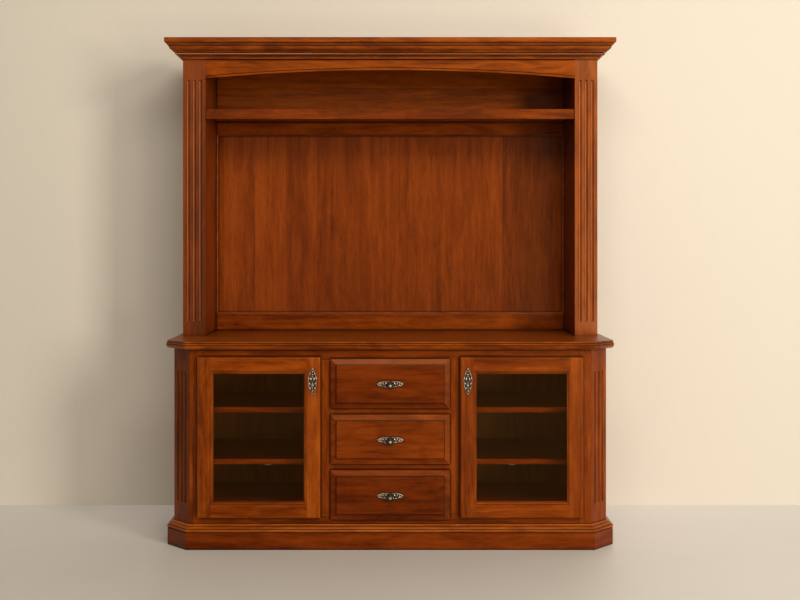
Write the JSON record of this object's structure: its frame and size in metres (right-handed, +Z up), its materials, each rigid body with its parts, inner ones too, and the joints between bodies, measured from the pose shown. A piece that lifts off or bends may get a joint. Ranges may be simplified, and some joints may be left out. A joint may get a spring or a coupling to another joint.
{
  "type": "entertainment center",
  "caption": "Cherry entertainment center: base cabinet with glazed doors and raised-panel drawers, and an open hutch with fluted pilasters, arched header and cornice.",
  "frame": {"origin": "on the floor under the middle of the outline's box", "axes": "+Z up, the doors and drawers face -Y, +X is to the right as the front is looked at"},
  "size_m": [1.7382, 0.5816, 1.9147],
  "materials": {
    "cherry": "satin lacquer",
    "maple": "clear satin lacquer",
    "back_plywood": "plain sealed plywood",
    "glass": "clear float glass",
    "pewter": "antique cast",
    "steel": "nickel plated",
    "rubber": "soft clear"
  },
  "bodies": {
    "cabinet": {"arched_header": "cherry", "base_back_panel": "back_plywood", "cabinet_floor": "cherry", "cabinet_shelves": "cherry", "cornice": "cherry", "countertop": "cherry", "door_bumpers": "rubber", "drawer_bay_partitions": "cherry", "drawer_runners": "maple", "face_frame_mullions": "cherry", "face_frame_rails": "cherry", "face_frame_stiles": "cherry", "hinge_arms": "steel", "hutch_back_beads": "cherry", "hutch_back_frame": "cherry", "hutch_back_panel": "cherry", "hutch_shelf": "cherry", "hutch_top": "cherry", "hutch_upper_back": "cherry", "joining_plates": "steel", "joining_screws": "steel", "left_corner_post": "cherry", "left_hutch_side": "cherry", "left_pilaster": "cherry", "left_side_panel": "cherry", "plinth_boards": "cherry", "plinth_cap": "cherry", "right_corner_post": "cherry", "right_hutch_side": "cherry", "right_pilaster": "cherry", "right_side_panel": "cherry", "rope_bead": "cherry", "shelf_pegs": "cherry"},
    "left_door": {"left_door_glass": "glass", "left_door_glass_stops": "cherry", "left_door_hinge_cups": "steel", "left_door_pull": "pewter", "left_door_rails": "cherry", "left_door_stiles": "cherry"},
    "right_door": {"right_door_glass": "glass", "right_door_glass_stops": "cherry", "right_door_hinge_cups": "steel", "right_door_pull": "pewter", "right_door_rails": "cherry", "right_door_stiles": "cherry"},
    "bottom_drawer": {"bottom_drawer_bottom": "maple", "bottom_drawer_box": "maple", "bottom_drawer_front": "cherry", "bottom_drawer_knob": "pewter", "bottom_drawer_pull_plate": "pewter"},
    "middle_drawer": {"middle_drawer_bottom": "maple", "middle_drawer_box": "maple", "middle_drawer_front": "cherry", "middle_drawer_knob": "pewter", "middle_drawer_pull_plate": "pewter"},
    "top_drawer": {"top_drawer_bottom": "maple", "top_drawer_box": "maple", "top_drawer_front": "cherry", "top_drawer_knob": "pewter", "top_drawer_pull_plate": "pewter"}
  },
  "joints": [
    {"name": "left_door_hinge", "type": "hinge", "parent": "cabinet", "child": "left_door", "pos_m": [-0.7085, -0.2542, 0.4], "axis": [0, 0, -1], "range_deg": [0, 105]},
    {"name": "right_door_hinge", "type": "hinge", "parent": "cabinet", "child": "right_door", "pos_m": [0.7085, -0.2542, 0.4], "axis": [0, 0, 1], "range_deg": [0, 105]},
    {"name": "top_drawer_slide", "type": "slide", "parent": "cabinet", "child": "top_drawer", "axis": [0, -1, 0], "range_m": [0, 0.34]},
    {"name": "middle_drawer_slide", "type": "slide", "parent": "cabinet", "child": "middle_drawer", "axis": [0, -1, 0], "range_m": [0, 0.34]},
    {"name": "bottom_drawer_slide", "type": "slide", "parent": "cabinet", "child": "bottom_drawer", "axis": [0, -1, 0], "range_m": [0, 0.34]}
  ]
}
